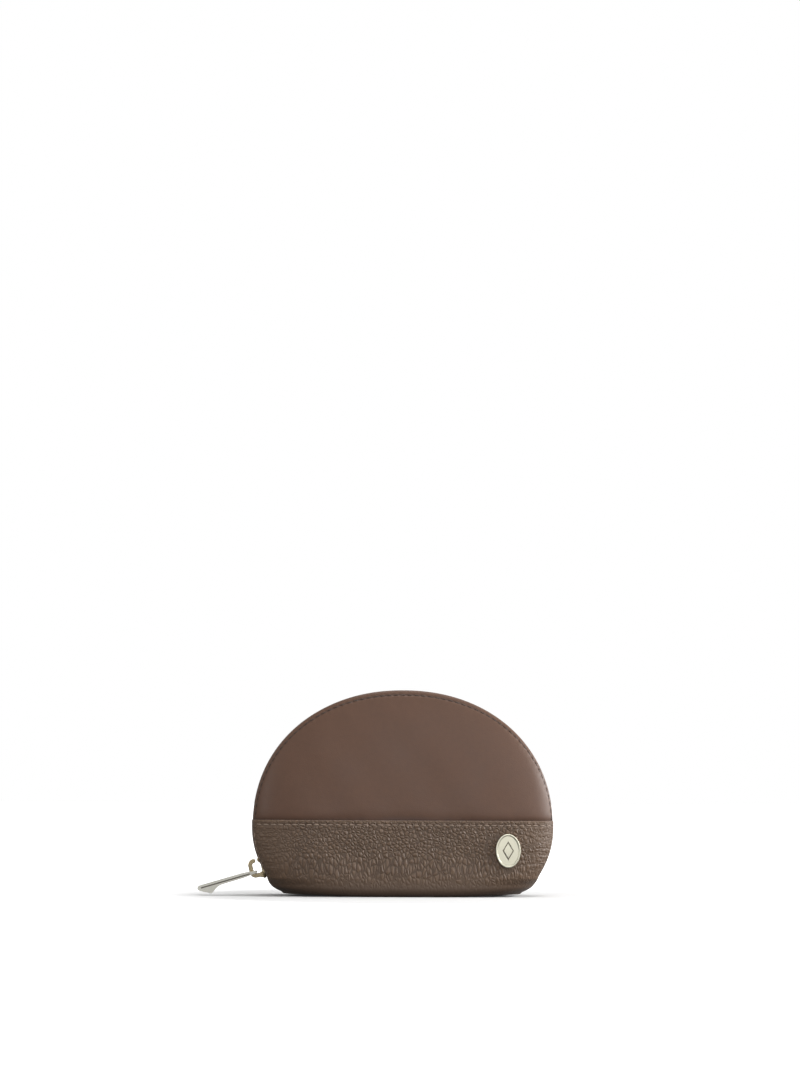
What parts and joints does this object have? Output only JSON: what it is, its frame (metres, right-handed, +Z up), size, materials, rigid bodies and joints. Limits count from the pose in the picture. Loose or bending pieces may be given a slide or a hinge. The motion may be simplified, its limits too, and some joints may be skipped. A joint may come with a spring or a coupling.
{
  "type": "half-moon zipped leather pouch",
  "caption": "Small half-moon pouch in smooth and pebbled leather, standing on a flat base, with a metal zip over its top, a hooked pull and an oval badge.",
  "frame": {"origin": "middle of the base, on the surface that the pouch stands on", "axes": "+Z up, +X to the right seen from the front, the front faces -Y"},
  "size_m": [0.171, 0.0448, 0.0989],
  "materials": {
    "smooth_leather": "smooth calf leather, warm taupe, soft sheen",
    "pebbled_leather": "tumbled pebbled leather, greyer taupe, semi-matt",
    "lining_cloth": "plain woven lining",
    "zip_tape": "woven herringbone tape",
    "grey_board": "plain board",
    "pale_gold": "polished pale gold plate"
  },
  "bodies": {
    "root": {"base_panel": "pebbled_leather", "base_board": "grey_board", "base_lining": "lining_cloth", "back_upper_panel": "smooth_leather", "back_lower_panel": "pebbled_leather", "back_stiffener": "grey_board", "back_lining": "lining_cloth", "back_zip_tape": "zip_tape", "back_tooth_row": "pale_gold", "zip_end_left": "zip_tape", "zip_end_right": "zip_tape", "top_stop_back": "pale_gold", "top_stop_front": "pale_gold", "bottom_stop": "pale_gold"},
    "front": {"front_upper_panel": "smooth_leather", "front_lower_panel": "pebbled_leather", "front_stiffener": "grey_board", "front_lining": "lining_cloth", "front_zip_tape": "zip_tape", "front_tooth_row": "pale_gold", "badge_plate": "pale_gold", "badge_back_plate": "pale_gold"},
    "slider": {"slider_body": "pale_gold"},
    "pull": {"pull_tab": "pale_gold"}
  },
  "joints": [
    {"name": "slider_travel", "type": "hinge", "parent": "root", "child": "slider", "pos_m": [0, 0, 0.02986], "axis": [0, 1, 0], "range_deg": [0, 207.4]},
    {"name": "pull_swing", "type": "hinge", "parent": "slider", "child": "pull", "pos_m": [-0.07046, 0, 0.01132], "axis": [0, 1, 0], "range_deg": [-75, 80]},
    {"name": "front_open", "type": "hinge", "parent": "root", "child": "front", "pos_m": [0, -0.02226, 0.006], "axis": [1, 0, 0], "range_deg": [0, 24]}
  ]
}
